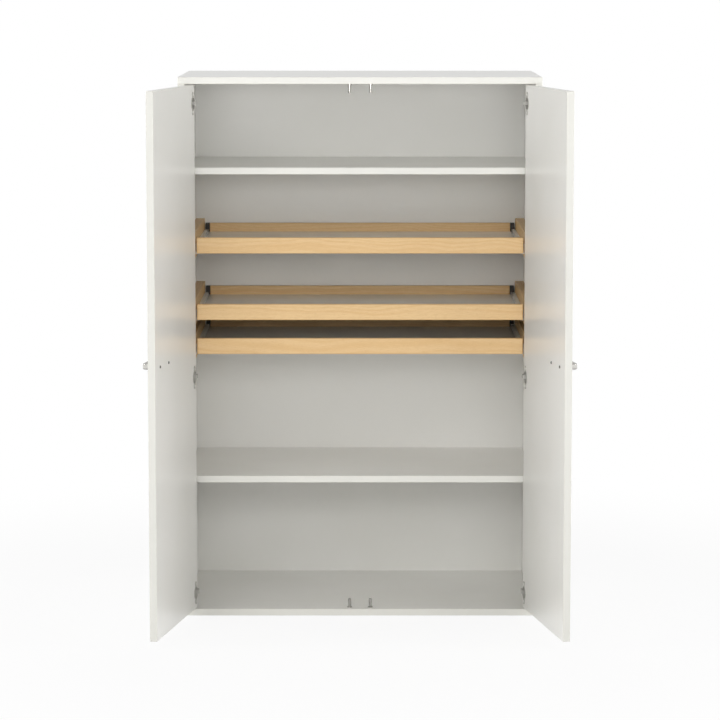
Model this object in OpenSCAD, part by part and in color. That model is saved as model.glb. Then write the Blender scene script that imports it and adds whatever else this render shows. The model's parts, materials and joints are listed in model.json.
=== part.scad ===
// Two-door shelf cabinet with three pull-out trays, standing on the floor.
// Origin at the middle of the footprint of the carcase, +Z up, front towards -Y, millimetres.
// The doors are drawn wide open and the trays pushed in.

/* [Carcase] */
// Overall width of the carcase
width = 1000; // [700:1:1200]
// Overall height of the carcase
height = 1500; // [1350:1:1900]
// Overall depth of the carcase, front edge to rear edge
depth = 590; // [570:1:700]
// Thickness of the carcase boards and shelves
board = 19; // [16:0.5:25]
// Radius on the edges of the lacquered boards
edge_r = 1; // [0.5:0.1:2]
// Thickness of the back panel
back_t = 8; // [4:0.5:10]
// Distance from the rear edges to the back panel
back_set = 9; // [6:0.5:12]
// Depth of the grooves that hold the back panel
groove_deep = 6; // [4:0.5:8]

/* [Shelves] */
// Height of the top face of the lower shelf above the floor
lower_shelf_z = 389; // [330:1:420]
// Height of the top face of the upper shelf above the floor
upper_shelf_z = 1250; // [1200:1:1280]
// Distance of the shelf front edges behind the front of the carcase
shelf_set = 40; // [34:1:70]
// Gap at each end of a shelf
shelf_play = 1; // [0.5:0.1:2]
// Distance of the front row of shelf pin holes behind the front
pin_row = 77; // [70:1:110]
// Distance between the two rows of shelf pin holes
pin_rows_apart = 416; // [350:1:430]
// Pitch of the shelf pin holes
hole_pitch = 32; // [24:1:40]
// Radius of the shelf pins
pin_r = 2.5; // [2:0.1:3]

/* [Doors] */
// Thickness of the doors
door_t = 20; // [19:0.5:22]
// Gap between the door edge and the side panel
door_side_gap = 3; // [2.8:0.1:4]
// Gap between the two doors
door_mid_gap = 3; // [2:0.1:5]
// Gap above and below the doors
door_end_gap = 3; // [2:0.1:5]
// Angle at which the doors stand open
door_open = 100; // [90:1:102]
// Height of the lowest hinges above the floor
hinge_low = 66; // [60:1:120]
// Height of the middle hinges above the floor
hinge_mid = 672; // [440:1:680]
// Distance of the highest hinges below the top of the cabinet
hinge_high = 72; // [60:1:120]

/* [Handles] */
// Distance between the two handle screws
handle_span = 96; // [64:1:160]
// Distance from the closing edge of the door to the nearer handle screw
handle_in = 55; // [40:1:90]
// Height of the handles above the floor
handle_z = 750; // [600:1:1100]
// Distance from the door face to the outer face of the handle
handle_out = 29; // [24:1:40]
// Height of the flat handle bar
handle_bar_h = 16; // [10:0.5:18]
// Thickness of the flat handle bar
handle_bar_t = 7; // [6:0.5:9]

/* [Hinges] */
// Distance from the side panel to the axis of the hinge pins
pivot_in = 12; // [11.8:0.1:13]
// Distance of the hinge pin axis behind the door face
pivot_deep = 7.15; // [6.9:0.05:7.3]
// Radius of the round hinge cup
cup_r = 17.5; // [17:0.1:18]
// Distance from the door edge to the rim of the cup
cup_edge = 3; // [2.5:0.1:3.5]
// Length of the cup flange
flange_len = 64; // [60:1:70]
// Distance between the two screws of a cup
cup_screw_span = 48; // [45:1:52]
// Radius of the hinge pins
hinge_pin_r = 1.2; // [1:0.05:1.3]
// Length of the hinge arms along the side panel
arm_len = 58; // [54:1:70]

/* [Door stops] */
// Distance of the stop studs from the middle
stop_x = 29; // [20:1:60]
// Radius of the stop studs
stop_r = 4; // [3:0.1:5]
// Length of the stop studs
stop_len = 25; // [18:1:32]

/* [Trays] */
// Heights of the undersides of the trays above the floor
tray_z = [733, 828, 1013];
// Distance of the tray fronts behind the front of the carcase
tray_set = 25; // [24:0.5:32]
// Height of the wooden tray rails
rail_h = 44; // [36:1:50]
// Thickness of the wooden tray rails
rail_t = 18; // [15:0.5:22]
// Thickness of the tray boards
tray_t = 19; // [16:0.5:22]
// Gap between the rear of a tray and the back panel
tray_back_gap = 6; // [4:0.5:12]
// How far a front rail reaches past the tray board at each end
front_over = 9.2; // [6:0.1:9.4]
// How far a back rail stays short of the tray board at each end
back_short = 3; // [2:0.1:6]
// Width of the plastic caps at the ends of the back rails
cap_w = 12; // [8:0.1:12]
// Thickness of the spacer strips that carry the slides
spacer_t = 25.5; // [25.5:0.1:28]
// Height of the spacer strips
spacer_h = 70; // [60:1:80]
// How far a spacer strip rises above the front rail of its tray
spacer_over = 12.5; // [5:0.5:14]

/* [Slides] */
// Thickness of a closed slide
slide_t = 12.7; // [12.5:0.1:14]
// Height of the slides
slide_h = 27; // [26:0.5:30]
// Distance from the rear ends of the slides to the back rails of the trays
slide_short = 5; // [3:1:40]
// Height of the slide axis above the underside of its tray
slide_axis = 10.9; // [9:0.1:11]
// Thickness of the sheet steel of the slides
slide_wall = 1.2; // [1:0.05:1.4]

/* [Hidden] */
$fn = 48;
lacquer = [0.93, 0.92, 0.89];
timber = [0.87, 0.69, 0.47];
zinc = [0.72, 0.73, 0.74];
nickel = [0.8, 0.79, 0.77];
black = [0.09, 0.085, 0.08];
fit = 0.05;          // radial clearance of pins, screws and dowels in their holes
play = 0.2;          // clearance of boards in grooves
ball_gap = 0.3;      // clearance of ball rows and of pieces that pass close by
eps = 0.01;
half_in = width / 2 - board;
front = -depth / 2;
rear_in = depth / 2 - back_set - back_t;
inner_depth = depth - back_set - back_t;
door_w = half_in - door_side_gap - door_mid_gap / 2;
door_h = height - 2 * board - 2 * door_end_gap;
pivot = [-half_in + pivot_in, front + pivot_deep, 0];
inner_face = front + door_t;

// Joinery of the carcase
dowel_r = 4;
dowel_len = 30;
dowel_short = 10;    // length of a dowel in the face of a board
dowel_in = 45;       // distance of the end dowels from the front and rear edges
dowels = 4;
dowel_ys = [for (i = [0:dowels - 1]) front + dowel_in + i * (depth - 2 * dowel_in) / (dowels - 1)];

// Shelf pins
pin_out = 8;
pin_in = 10;
pin_collar_r = pin_r + 1.3;
pin_collar_t = 1;
pin_holes = 5;
pin_ys = [front + pin_row, front + pin_row + pin_rows_apart];

// Screws
screw_r = 1.7;
screw_head_r = 3.6;
screw_head_h = 1.8;
screw_in = 12;

// Hinges
hinge_z = [hinge_low, hinge_mid, height - hinge_high];
cup_wall = 0.8;
cup_x = -half_in + door_side_gap + cup_edge + cup_r;
flange_t = 1.5;
flange_w = 16;
eye_r = hinge_pin_r + 1.2;
// The floor of the cup lies just in front of the eye of the arm
cup_deep = door_t - (pivot_deep - eye_r - ball_gap - cup_wall);
arm_t = 2;
arm_w = 10;
arm_reach = 18;      // distance from the pin to the upright leg of the arm
arm_front = front + 31;
channel_w = 16;
channel_wall = 1.2;
channel_top = pivot.x + 5.4;
channel_deep = 10;
plate_t = 2;
plate_wing = 48;
plate_screw_span = 32;
plate_line = door_t + 37;
lug_w = 4.6;
arm_screw_r = 2.5;

// Trays
tray_front = front + tray_set;
tray_rear = rear_in - tray_back_gap;
tongue_t = 6;
tongue_in = 8;
cap_over = 1.6;      // gap between the slides and the caps that pass over them

// Slides
slide_front = tray_front + rail_t + 1;
slide_len = tray_rear - rail_t - slide_short - slide_front;
lane = -half_in + spacer_t;          // inner face of the left spacer strips
board_half = half_in - spacer_t - slide_t;
race = 1.3;                          // height of an outer ball row
middle_h = slide_h - 2 * slide_wall - 2 * race;
inner_race = 2.3;
runner_h = middle_h - 2 * slide_wall - 2 * inner_race;
slide_screw_r = 1.5;
slide_head_r = 3;
slide_screws = 3;
slide_screw_end = 40;

// Rectangle with its corner at the origin and round corners
module round_rect(w, h, r) {
    translate([r, 0]) square([w - 2 * r, h]);
    translate([0, r]) square([w, h - 2 * r]);
    for (x = [r, w - r], y = [r, h - r]) translate([x, y]) circle(r);
}

// Board with its corner at the origin and every edge rounded
module slab(size, r) {
    intersection() {
        linear_extrude(size.z) round_rect(size.x, size.y, r);
        rotate([90, 0, 90]) linear_extrude(size.x) round_rect(size.y, size.z, r);
        translate([0, size.y, 0]) rotate([90, 0, 0])
            linear_extrude(size.y) round_rect(size.x, size.z, r);
    }
}

// A piece and its mirror image on the other side of the cabinet
module both_sides() {
    children();
    mirror([1, 0, 0]) children();
}

// The left door and all that is fixed to it, turned from closed to open
module swing_left() {
    translate(pivot) rotate([0, 0, -door_open]) translate(-pivot) children();
}

// Cylinder along X from the origin
module rod_x(r, h) {
    rotate([0, 90, 0]) cylinder(r = r, h = h);
}

// Cylinder along +Y from the origin
module rod_y(r, h) {
    rotate([-90, 0, 0]) cylinder(r = r, h = h);
}

// Pan head screw along X: the head lies on the -X side of the origin, the shank on the +X side
module pan_screw(r, shank, head_r, head_h) {
    rod_x(r, shank);
    translate([-head_h, 0, 0]) intersection() {
        rod_x(head_r, head_h);
        translate([head_r * 1.25, 0, 0]) sphere(head_r * 1.25 + eps);
    }
}

// Places of the dowels in the left half
module side_dowel_places(r, longer) {
    for (y = dowel_ys) {
        translate([-width / 2 + board / 2, y, height - board - dowel_len + dowel_short - longer])
            cylinder(r = r, h = dowel_len + 2 * longer);
        translate([-half_in - dowel_short - longer, y, board / 2]) rod_x(r, dowel_len + 2 * longer);
    }
}

module panel_dowels() {
    color(timber) both_sides() side_dowel_places(dowel_r, 0);
}

// Groove for the back panel, as a solid to take away
module back_groove(x0, x1, z0, z1) {
    translate([x0, rear_in - play, z0]) cube([x1 - x0, back_t + 2 * play, z1 - z0]);
}

// Places of the shelf pins under one shelf, or of its column of holes
module pin_places(top_z, steps) {
    for (y = pin_ys, i = steps)
        translate([-half_in, y, top_z - board - pin_r + i * hole_pitch]) children();
}

module side_panel() {
    screws_z = [for (z = hinge_z, s = [-1, 1]) z + s * plate_screw_span / 2];
    hole_steps = [-floor(pin_holes / 2):floor(pin_holes / 2)];
    color(lacquer) difference() {
        translate([-width / 2, front, 0]) slab([board, depth, height - board], edge_r);
        back_groove(-half_in - groove_deep, -half_in + 1, board - groove_deep, height);
        side_dowel_places(dowel_r + fit, 0.5);
        for (z = [lower_shelf_z, upper_shelf_z])
            pin_places(z, hole_steps) translate([-pin_in - 1, 0, 0]) rod_x(pin_r + fit, pin_in + 2);
        for (z = screws_z) translate([-half_in - screw_in - 0.5, front + plate_line, z])
            rod_x(screw_r + fit, screw_in + 1);
        for (z = tray_z) spacer_screw_places(z)
            translate([-screw_in - 0.5, 0, 0]) rod_x(screw_r + fit, screw_in + 1);
    }
}

module left_side() { side_panel(); }
module right_side() { mirror([1, 0, 0]) side_panel(); }

// Places of the four stop studs: a position on the panel and the way the stud points
module stop_places() {
    for (x = [-stop_x, stop_x]) {
        translate([x, inner_face + ball_gap + stop_r, board]) children();
        translate([x, inner_face + ball_gap + stop_r, height - board]) mirror([0, 0, 1]) children();
    }
}

stop_spigot = 12;
stop_spigot_r = 2.5;

module stop_stud() {
    base_t = 2;
    tip = 1;
    translate([0, 0, -stop_spigot]) cylinder(r = stop_spigot_r, h = stop_spigot + 1);
    cylinder(r = stop_r + 3, h = base_t);
    cylinder(r = stop_r, h = stop_len - tip);
    translate([0, 0, stop_len - tip]) cylinder(r1 = stop_r, r2 = stop_r - tip, h = tip);
}

module door_stops() {
    color(nickel) stop_places() stop_stud();
}

module stop_holes() {
    stop_places() translate([0, 0, -stop_spigot - 0.5])
        cylinder(r = stop_spigot_r + fit, h = stop_spigot + 1);
}

module top_panel() {
    color(lacquer) difference() {
        translate([-width / 2, front, height - board]) slab([width, depth, board], edge_r);
        back_groove(-half_in - groove_deep, half_in + groove_deep,
            height - board - 1, height - board + groove_deep);
        both_sides() side_dowel_places(dowel_r + fit, 0.5);
        stop_holes();
    }
}

module bottom_panel() {
    color(lacquer) difference() {
        translate([-half_in, front, 0]) slab([2 * half_in, depth, board], edge_r);
        back_groove(-half_in - 1, half_in + 1, board - groove_deep, board + 1);
        both_sides() side_dowel_places(dowel_r + fit, 0.5);
        stop_holes();
    }
}

module back_panel() {
    reach = groove_deep - play;
    color(lacquer) translate([-half_in - reach, rear_in, board - reach])
        cube([2 * (half_in + reach), back_t, height - 2 * board + 2 * reach]);
}

module shelf(top_z) {
    long = 2 * (half_in - shelf_play);
    color(lacquer) translate([-long / 2, front + shelf_set, top_z - board])
        slab([long, inner_depth - shelf_set - shelf_play, board], edge_r);
}

module lower_shelf() { shelf(lower_shelf_z); }
module upper_shelf() { shelf(upper_shelf_z); }

module shelf_pins() {
    color(nickel) both_sides() for (z = [lower_shelf_z, upper_shelf_z]) pin_places(z, [0]) {
        translate([-pin_in, 0, 0]) rod_x(pin_r, pin_in + pin_out);
        intersection() {
            rod_x(pin_collar_r, pin_collar_t);
            translate([0, -pin_collar_r, -2 * pin_collar_r + pin_r])
                cube([pin_collar_t, 2 * pin_collar_r, 2 * pin_collar_r]);
        }
    }
}

// Places of the handle screws on the outer face of the closed left door
handle_xs = [-door_mid_gap / 2 - handle_in, -door_mid_gap / 2 - handle_in - handle_span];
handle_screw_r = 2;
handle_screw_in = 12;

module left_door_closed() {
    difference() {
        translate([-half_in + door_side_gap, front, board + door_end_gap])
            slab([door_w, door_t, door_h], edge_r);
        for (z = hinge_z) {
            translate([cup_x, inner_face - cup_deep - play, z]) rod_y(cup_r + fit, cup_deep + 1);
            for (s = [-1, 1]) translate([cup_x, inner_face - screw_in - 0.5, z + s * cup_screw_span / 2])
                rod_y(screw_r + fit, screw_in + 1);
        }
        for (x = handle_xs) translate([x, front - 1, handle_z]) rod_y(handle_screw_r + 0.2, door_t + 2);
    }
}

module left_door() { color(lacquer) swing_left() left_door_closed(); }
module right_door() { mirror([1, 0, 0]) left_door(); }

// Section of the handle bar, upright in the plane, centred on the origin
module bar_section() {
    r = handle_bar_t / 2 - 0.5;
    translate([-handle_bar_t / 2, -handle_bar_h / 2]) round_rect(handle_bar_t, handle_bar_h, r);
}

// Bow handle on the outer face of the closed left door
module bow() {
    bend = handle_bar_t / 2 + 6;
    mid_y = front - handle_out + handle_bar_t / 2;
    leg = handle_out - handle_bar_t / 2 - bend;
    difference() {
        union() {
            translate([handle_xs[1] + bend, mid_y, handle_z])
                rotate([90, 0, 90]) linear_extrude(handle_span - 2 * bend) bar_section();
            for (x = handle_xs) translate([x, front, handle_z])
                rotate([90, 0, 0]) linear_extrude(leg) bar_section();
            translate([handle_xs[0] - bend, mid_y + bend, handle_z]) rotate([0, 0, -90])
                rotate_extrude(angle = 90) translate([bend, 0]) bar_section();
            translate([handle_xs[1] + bend, mid_y + bend, handle_z]) rotate([0, 0, 180])
                rotate_extrude(angle = 90) translate([bend, 0]) bar_section();
        }
        for (x = handle_xs) translate([x, front - handle_screw_in - 0.5, handle_z])
            rod_y(handle_screw_r + fit, handle_screw_in + 1);
    }
}

module left_handle() { color(nickel) swing_left() bow(); }
module right_handle() { mirror([1, 0, 0]) left_handle(); }

module left_handle_screws() {
    color(nickel) swing_left() for (x = handle_xs) translate([x, inner_face, handle_z])
        rotate([0, 0, -90]) pan_screw(handle_screw_r, door_t + handle_screw_in, 4, 2.6);
}
module right_handle_screws() { mirror([1, 0, 0]) left_handle_screws(); }

// Outline of the cup flange in the plane of the door: a disc with a long wing
module flange_outline() {
    circle(cup_r + 1);
    square([flange_w, flange_len - flange_w], center = true);
    for (s = [-1, 1]) translate([0, s * (flange_len - flange_w) / 2]) circle(flange_w / 2);
}

// One hinge cup with its flange and the two lugs that hold the pin, in the closed door
module hinge_cup(z) {
    lug_out = 10;
    lug_in = arm_w / 2 + 0.3;
    difference() {
        union() {
            translate([cup_x, inner_face - cup_deep, z]) rod_y(cup_r, cup_deep);
            translate([cup_x, inner_face + flange_t, z]) rotate([90, 0, 0])
                linear_extrude(flange_t) flange_outline();
        }
        difference() {
            translate([cup_x, inner_face - cup_deep + cup_wall, z])
                rod_y(cup_r - cup_wall, cup_deep + 2);
            for (s = [-1, 1]) translate([pivot.x - lug_w / 2, inner_face - cup_deep - 1,
                    z + (s < 0 ? -lug_out : lug_in)])
                cube([lug_w, pivot.y + lug_w / 2 - inner_face + cup_deep + 1, lug_out - lug_in]);
        }
        translate([pivot.x, pivot.y, z - lug_out - 1])
            cylinder(r = hinge_pin_r + fit, h = 2 * lug_out + 2);
        for (s = [-1, 1]) translate([cup_x, inner_face - 1, z + s * cup_screw_span / 2])
            rod_y(screw_r + fit, flange_t + 2);
    }
}

module left_hinge_cups() { color(nickel) swing_left() for (z = hinge_z) hinge_cup(z); }
module right_hinge_cups() { mirror([1, 0, 0]) left_hinge_cups(); }

module left_cup_screws() {
    color(zinc) swing_left() for (z = hinge_z, s = [-1, 1])
        translate([cup_x, inner_face + flange_t, z + s * cup_screw_span / 2]) rotate([0, 0, -90])
            pan_screw(screw_r, screw_in + flange_t, screw_head_r, screw_head_h);
}
module right_cup_screws() { mirror([1, 0, 0]) left_cup_screws(); }

// Points of an arc about a centre
function arc_points(c, r, a0, a1, n) =
    [for (i = [0:n]) c + r * [cos(a0 + (a1 - a0) * i / n), sin(a0 + (a1 - a0) * i / n)]];

// Bent strip of the hinge arm, seen from above: web, reach, leg and the run to the pin
module arm_outline() {
    r = 2;
    web_x = channel_top - arm_t / 2;
    leg_x = pivot.x + arm_reach;
    t = arm_t / 2;
    y1 = arm_front;
    y0 = pivot.y;
    far = arm_front + arm_len;
    polygon(concat(
        [[web_x - t, far], [web_x + t, far]],
        arc_points([web_x + t + r, y1 + t + r], r, 180, 270, 8),
        arc_points([leg_x + t - r - 2 * t, y1 + t - r - 2 * t], r + 2 * t, 90, 0, 8),
        arc_points([leg_x + t - r - 2 * t, y0 - t + r + 2 * t], r + 2 * t, 0, -90, 8),
        [[pivot.x, y0 - t], [pivot.x, y0 + t]],
        arc_points([leg_x - t - r, y0 + t + r], r, -90, 0, 8),
        arc_points([leg_x - t - r, y1 - t - r], r, 0, 90, 8),
        arc_points([web_x - t + r + 2 * t, y1 - t + r + 2 * t], r + 2 * t, 270, 180, 8)
    ));
}

module hinge_arm(z) {
    side_from = arm_front + 5;
    difference() {
        union() {
            translate([0, 0, z - arm_w / 2]) linear_extrude(arm_w) arm_outline();
            translate([pivot.x, pivot.y, z - arm_w / 2]) cylinder(r = eye_r, h = arm_w);
            translate([channel_top - channel_deep, side_from, z - channel_w / 2])
                cube([channel_deep, arm_front + arm_len - side_from, channel_w]);
        }
        translate([channel_top - channel_deep - 1, side_from - 1, z - channel_w / 2 + channel_wall])
            cube([channel_deep + 1 - arm_t, arm_len, channel_w - 2 * channel_wall]);
        translate([pivot.x, pivot.y, z - arm_w]) cylinder(r = hinge_pin_r + fit, h = 2 * arm_w);
        translate([channel_top - arm_t - 1, front + plate_line, z]) rod_x(arm_screw_r + fit, arm_t + 2);
    }
}

module left_hinge_arms() { color(nickel) for (z = hinge_z) hinge_arm(z); }
module right_hinge_arms() { mirror([1, 0, 0]) left_hinge_arms(); }

module left_hinge_pins() {
    pin_len = 19;
    color(zinc) for (z = hinge_z) translate([pivot.x, pivot.y, z - pin_len / 2])
        cylinder(r = hinge_pin_r, h = pin_len);
}
module right_hinge_pins() { mirror([1, 0, 0]) left_hinge_pins(); }

// Mounting plate: a wing screwed to the side panel and a raised saddle inside the arm
module hinge_plate(z) {
    saddle_w = channel_w - 2 * channel_wall - 2 * ball_gap;
    saddle_len = 40;
    saddle_top = channel_top - arm_t - ball_gap;
    difference() {
        union() {
            translate([-half_in, front + plate_line - flange_w / 2, z - plate_wing / 2])
                slab([plate_t, flange_w, plate_wing], plate_t / 3);
            translate([-half_in, front + plate_line - saddle_len / 2, z - saddle_w / 2])
                cube([saddle_top + half_in, saddle_len, saddle_w]);
        }
        for (s = [-1, 1]) translate([-half_in - 1, front + plate_line, z + s * plate_screw_span / 2])
            rod_x(screw_r + fit, plate_t + 2);
        translate([saddle_top - 9, front + plate_line, z]) rod_x(arm_screw_r + fit, 10);
    }
}

module left_hinge_plates() { color(nickel) for (z = hinge_z) hinge_plate(z); }
module right_hinge_plates() { mirror([1, 0, 0]) left_hinge_plates(); }

// Two screws through each plate and one that clamps the arm on it
module left_plate_screws() {
    color(zinc) for (z = hinge_z) {
        for (s = [-1, 1])
            translate([-half_in + plate_t, front + plate_line, z + s * plate_screw_span / 2])
                mirror([1, 0, 0]) pan_screw(screw_r, screw_in + plate_t, screw_head_r, screw_head_h);
        translate([channel_top, front + plate_line, z]) mirror([1, 0, 0])
            pan_screw(arm_screw_r, 10, 4.2, 2.2);
    }
}
module right_plate_screws() { mirror([1, 0, 0]) left_plate_screws(); }

// Places of the screws that hold one left spacer strip, on the face of the side panel
module spacer_screw_places(z) {
    inset = 60;
    for (y = [front + tray_set + inset, rear_in - inset])
        translate([-half_in, y, z + rail_h + spacer_over - 14]) children();
}

// Places along a slide of its fixing screws
slide_screw_ys = [for (i = [0:slide_screws - 1])
    slide_front + slide_screw_end + i * (slide_len - 2 * slide_screw_end) / (slide_screws - 1)];

module spacer_pair(z) {
    long = rear_in - 0.5 - tray_front - 3;
    color(timber) both_sides() difference() {
        translate([-half_in, tray_front + 3, z + rail_h + spacer_over - spacer_h])
            slab([spacer_t, long, spacer_h], 1.5);
        spacer_screw_places(z) {
            translate([-1, 0, 0]) rod_x(screw_r + fit, spacer_t + 2);
            translate([spacer_t - 2.5 - fit, 0, 0]) rod_x(screw_head_r + fit, 4);
        }
        for (y = slide_screw_ys) translate([lane - 12.5, y, z + slide_axis])
            rod_x(slide_screw_r + fit, 14);
    }
}

module spacer_screws() {
    color(zinc) both_sides() for (z = tray_z) spacer_screw_places(z) {
        translate([-screw_in, 0, 0]) rod_x(screw_r, spacer_t + screw_in - 2);
        translate([spacer_t - 2.5, 0, 0]) rod_x(screw_head_r, 2.2);
    }
}

// Channel section lying open towards +X, its web at x = 0, centred on y = 0
module channel_section(deep, tall, wall) {
    translate([0, -tall / 2]) square([wall, tall]);
    for (s = [-1, 1]) translate([0, s < 0 ? -tall / 2 : tall / 2 - wall]) square([deep, wall]);
}

// Runs a section along the slide: section x goes towards the tray, section y goes up
module along_slide(z) {
    translate([lane, slide_front + slide_len, z + slide_axis])
        rotate([90, 0, 0]) linear_extrude(slide_len) children();
}

// Outer member, screwed to the spacer strip, with lips that keep the ball rows in
module slide_rails(z) {
    deep = slide_t - 2 * slide_wall;
    lip = 0.9;
    color(zinc) both_sides() difference() {
        union() {
            along_slide(z) channel_section(deep, slide_h, slide_wall);
            along_slide(z) for (s = [-1, 1])
                translate([deep - 0.6, s < 0 ? -slide_h / 2 : slide_h / 2 - slide_wall - lip])
                    square([0.6, slide_wall + lip]);
        }
        for (y = slide_screw_ys) translate([lane - 1, y, z + slide_axis])
            rod_x(slide_head_r + fit, slide_wall + 2);
    }
}

// Middle member with its four ball rows, which runs half as far as the tray
module slide_middles(z) {
    web_x = slide_wall + 0.4;
    deep = slide_t - 3 * slide_wall - 0.4 - web_x;
    row_in = 3;
    row_w = 4;
    color(zinc) both_sides() {
        along_slide(z) translate([web_x, 0]) channel_section(deep, middle_h, slide_wall);
        along_slide(z) for (s = [-1, 1]) {
            translate([web_x + row_in, s > 0 ? middle_h / 2 : -middle_h / 2 - race + ball_gap])
                square([row_w, race - ball_gap]);
            translate([web_x + row_in, s > 0 ? runner_h / 2 + ball_gap : -middle_h / 2 + slide_wall])
                square([row_w, inner_race - ball_gap]);
        }
    }
}

// Inner member, screwed to the edge of the tray board
module tray_runners(z) {
    reach = 7.5;
    color(zinc) both_sides() difference() {
        along_slide(z) translate([slide_t, 0]) mirror([1, 0])
            channel_section(slide_wall + reach, runner_h, slide_wall);
        for (y = slide_screw_ys) translate([lane + slide_t - slide_wall - 1, y, z + slide_axis])
            rod_x(slide_head_r + fit, slide_wall + 2);
    }
}

module rail_screws() {
    color(zinc) both_sides() for (z = tray_z, y = slide_screw_ys)
        translate([lane, y, z + slide_axis]) {
            translate([-12, 0, 0]) rod_x(slide_screw_r, 12.5);
            rod_x(slide_head_r, slide_wall);
        }
}

module tray_screws(z) {
    color(zinc) both_sides() for (y = slide_screw_ys)
        translate([lane + slide_t, y, z + slide_axis]) {
            translate([-slide_wall, 0, 0]) rod_x(slide_head_r, slide_wall);
            translate([-0.5, 0, 0]) rod_x(slide_screw_r, 12.5);
        }
}

// Wooden rail of a tray, with a groove for the tongue of the tray board on one side
module tray_rail(z, half, y, groove_y) {
    color(timber) difference() {
        translate([-half, y, z]) slab([2 * half, rail_t, rail_h], 2);
        translate([-board_half - 1, groove_y - play, z + tray_t / 2 - tongue_t / 2 - play])
            cube([2 * board_half + 2, tongue_in + 2 * play, tongue_t + 2 * play]);
    }
}

module tray_front_rail(z) {
    tray_rail(z, board_half + front_over, tray_front, tray_front + rail_t - tongue_in);
}

module tray_back_rail(z) {
    tray_rail(z, board_half - back_short, tray_rear - rail_t, tray_rear - rail_t);
}

module tray_board(z) {
    long = tray_rear - tray_front - 2 * rail_t;
    half_tongue = board_half - back_short - 1;
    color(lacquer) difference() {
        union() {
            translate([-board_half, tray_front + rail_t, z]) cube([2 * board_half, long, tray_t]);
            translate([-half_tongue, tray_front + rail_t - tongue_in, z + tray_t / 2 - tongue_t / 2])
                cube([2 * half_tongue, long + 2 * tongue_in, tongue_t]);
        }
        both_sides() for (y = slide_screw_ys) translate([-board_half - 1, y, z + slide_axis])
            rod_x(slide_screw_r + fit, 13.5);
    }
}

// Black caps that close the ends of the back rail
module tray_caps(z) {
    low = slide_axis + slide_h / 2 + cap_over;
    color(black) both_sides() {
        translate([-board_half, tray_rear - rail_t, z]) slab([back_short, rail_t, rail_h], 0.8);
        translate([-board_half + back_short - cap_w, tray_rear - rail_t, z + low])
            slab([cap_w, rail_t, rail_h - low], 1);
    }
}

module lower_spacers() { spacer_pair(tray_z[0]); }
module lower_slide_rails() { slide_rails(tray_z[0]); }
module lower_slide_middles() { slide_middles(tray_z[0]); }
module lower_tray_runners() { tray_runners(tray_z[0]); }
module lower_tray_front() { tray_front_rail(tray_z[0]); }
module lower_tray_board() { tray_board(tray_z[0]); }
module lower_tray_back() { tray_back_rail(tray_z[0]); }
module lower_tray_caps() { tray_caps(tray_z[0]); }
module lower_tray_screws() { tray_screws(tray_z[0]); }

module middle_spacers() { spacer_pair(tray_z[1]); }
module middle_slide_rails() { slide_rails(tray_z[1]); }
module middle_slide_middles() { slide_middles(tray_z[1]); }
module middle_tray_runners() { tray_runners(tray_z[1]); }
module middle_tray_front() { tray_front_rail(tray_z[1]); }
module middle_tray_board() { tray_board(tray_z[1]); }
module middle_tray_back() { tray_back_rail(tray_z[1]); }
module middle_tray_caps() { tray_caps(tray_z[1]); }
module middle_tray_screws() { tray_screws(tray_z[1]); }

module upper_spacers() { spacer_pair(tray_z[2]); }
module upper_slide_rails() { slide_rails(tray_z[2]); }
module upper_slide_middles() { slide_middles(tray_z[2]); }
module upper_tray_runners() { tray_runners(tray_z[2]); }
module upper_tray_front() { tray_front_rail(tray_z[2]); }
module upper_tray_board() { tray_board(tray_z[2]); }
module upper_tray_back() { tray_back_rail(tray_z[2]); }
module upper_tray_caps() { tray_caps(tray_z[2]); }
module upper_tray_screws() { tray_screws(tray_z[2]); }

left_side();
right_side();
top_panel();
bottom_panel();
back_panel();
panel_dowels();
lower_shelf();
upper_shelf();
shelf_pins();
door_stops();
left_door();
left_handle();
left_handle_screws();
left_hinge_cups();
left_cup_screws();
left_hinge_arms();
left_hinge_pins();
left_hinge_plates();
left_plate_screws();
right_door();
right_handle();
right_handle_screws();
right_hinge_cups();
right_cup_screws();
right_hinge_arms();
right_hinge_pins();
right_hinge_plates();
right_plate_screws();
lower_spacers();
lower_slide_rails();
lower_slide_middles();
lower_tray_runners();
lower_tray_front();
lower_tray_board();
lower_tray_back();
lower_tray_caps();
lower_tray_screws();
middle_spacers();
middle_slide_rails();
middle_slide_middles();
middle_tray_runners();
middle_tray_front();
middle_tray_board();
middle_tray_back();
middle_tray_caps();
middle_tray_screws();
upper_spacers();
upper_slide_rails();
upper_slide_middles();
upper_tray_runners();
upper_tray_front();
upper_tray_board();
upper_tray_back();
upper_tray_caps();
upper_tray_screws();
spacer_screws();
rail_screws();
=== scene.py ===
# %% [markdown]
# # A two-door shelf cabinet with three pull-out trays
#
# The solids of the cabinet come ready made: panels, doors, hinges, slides, trays and screws, each
# in its true place. This lesson gives them their finishes: white lacquer, clear timber, a faced tray
# board, zinc, nickel and black plastic. It then makes the screw heads with their cross slots by a
# rule, and sets up a studio with a camera at the height of a standing viewer.

import json
import math

import bpy
import numpy as np
from mathutils import Matrix, Vector

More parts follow.
